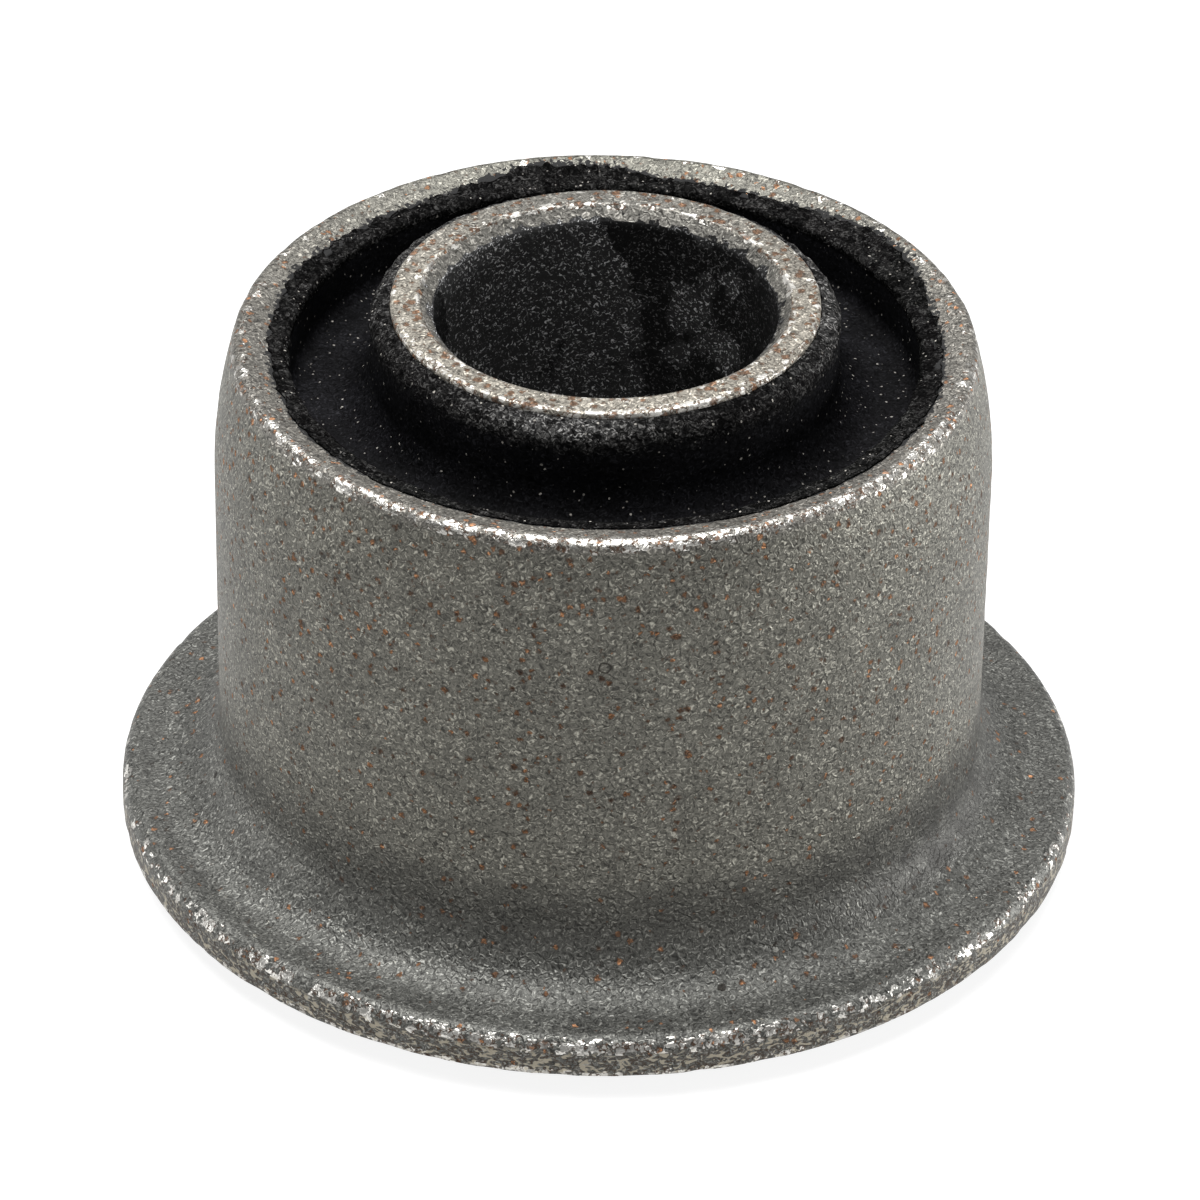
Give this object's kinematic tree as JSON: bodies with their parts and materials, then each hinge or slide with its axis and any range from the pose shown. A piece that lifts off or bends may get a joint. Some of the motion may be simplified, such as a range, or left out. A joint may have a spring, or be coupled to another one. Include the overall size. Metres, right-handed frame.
{
  "type": "pedal bushing",
  "caption": "Flanged rubber-to-metal bush for a pedal pivot: steel outer sleeve with a flange, bonded rubber body and a steel inner sleeve with a plain through bore.",
  "frame": {"origin": "on the bush's axis, at the lower end face of the inner sleeve", "axes": "+Z along the bore axis, from the flange end towards the drawn-in mouth; the part is round, so +X and +Y are free"},
  "size_m": [0.046, 0.046, 0.029],
  "materials": {
    "outer_steel": "grit-blasted bare steel, mid grey, with rust specks and worn bright edges",
    "rubber": "black moulded rubber, satin in the grooves, rough and torn where the moulding flash ends",
    "inner_steel": "grit-blasted bare steel with rust specks, black bonding film inside the bore"
  },
  "bodies": {
    "root": {"outer_sleeve": "outer_steel", "rubber_body": "rubber", "inner_sleeve": "inner_steel"}
  },
  "joints": []
}
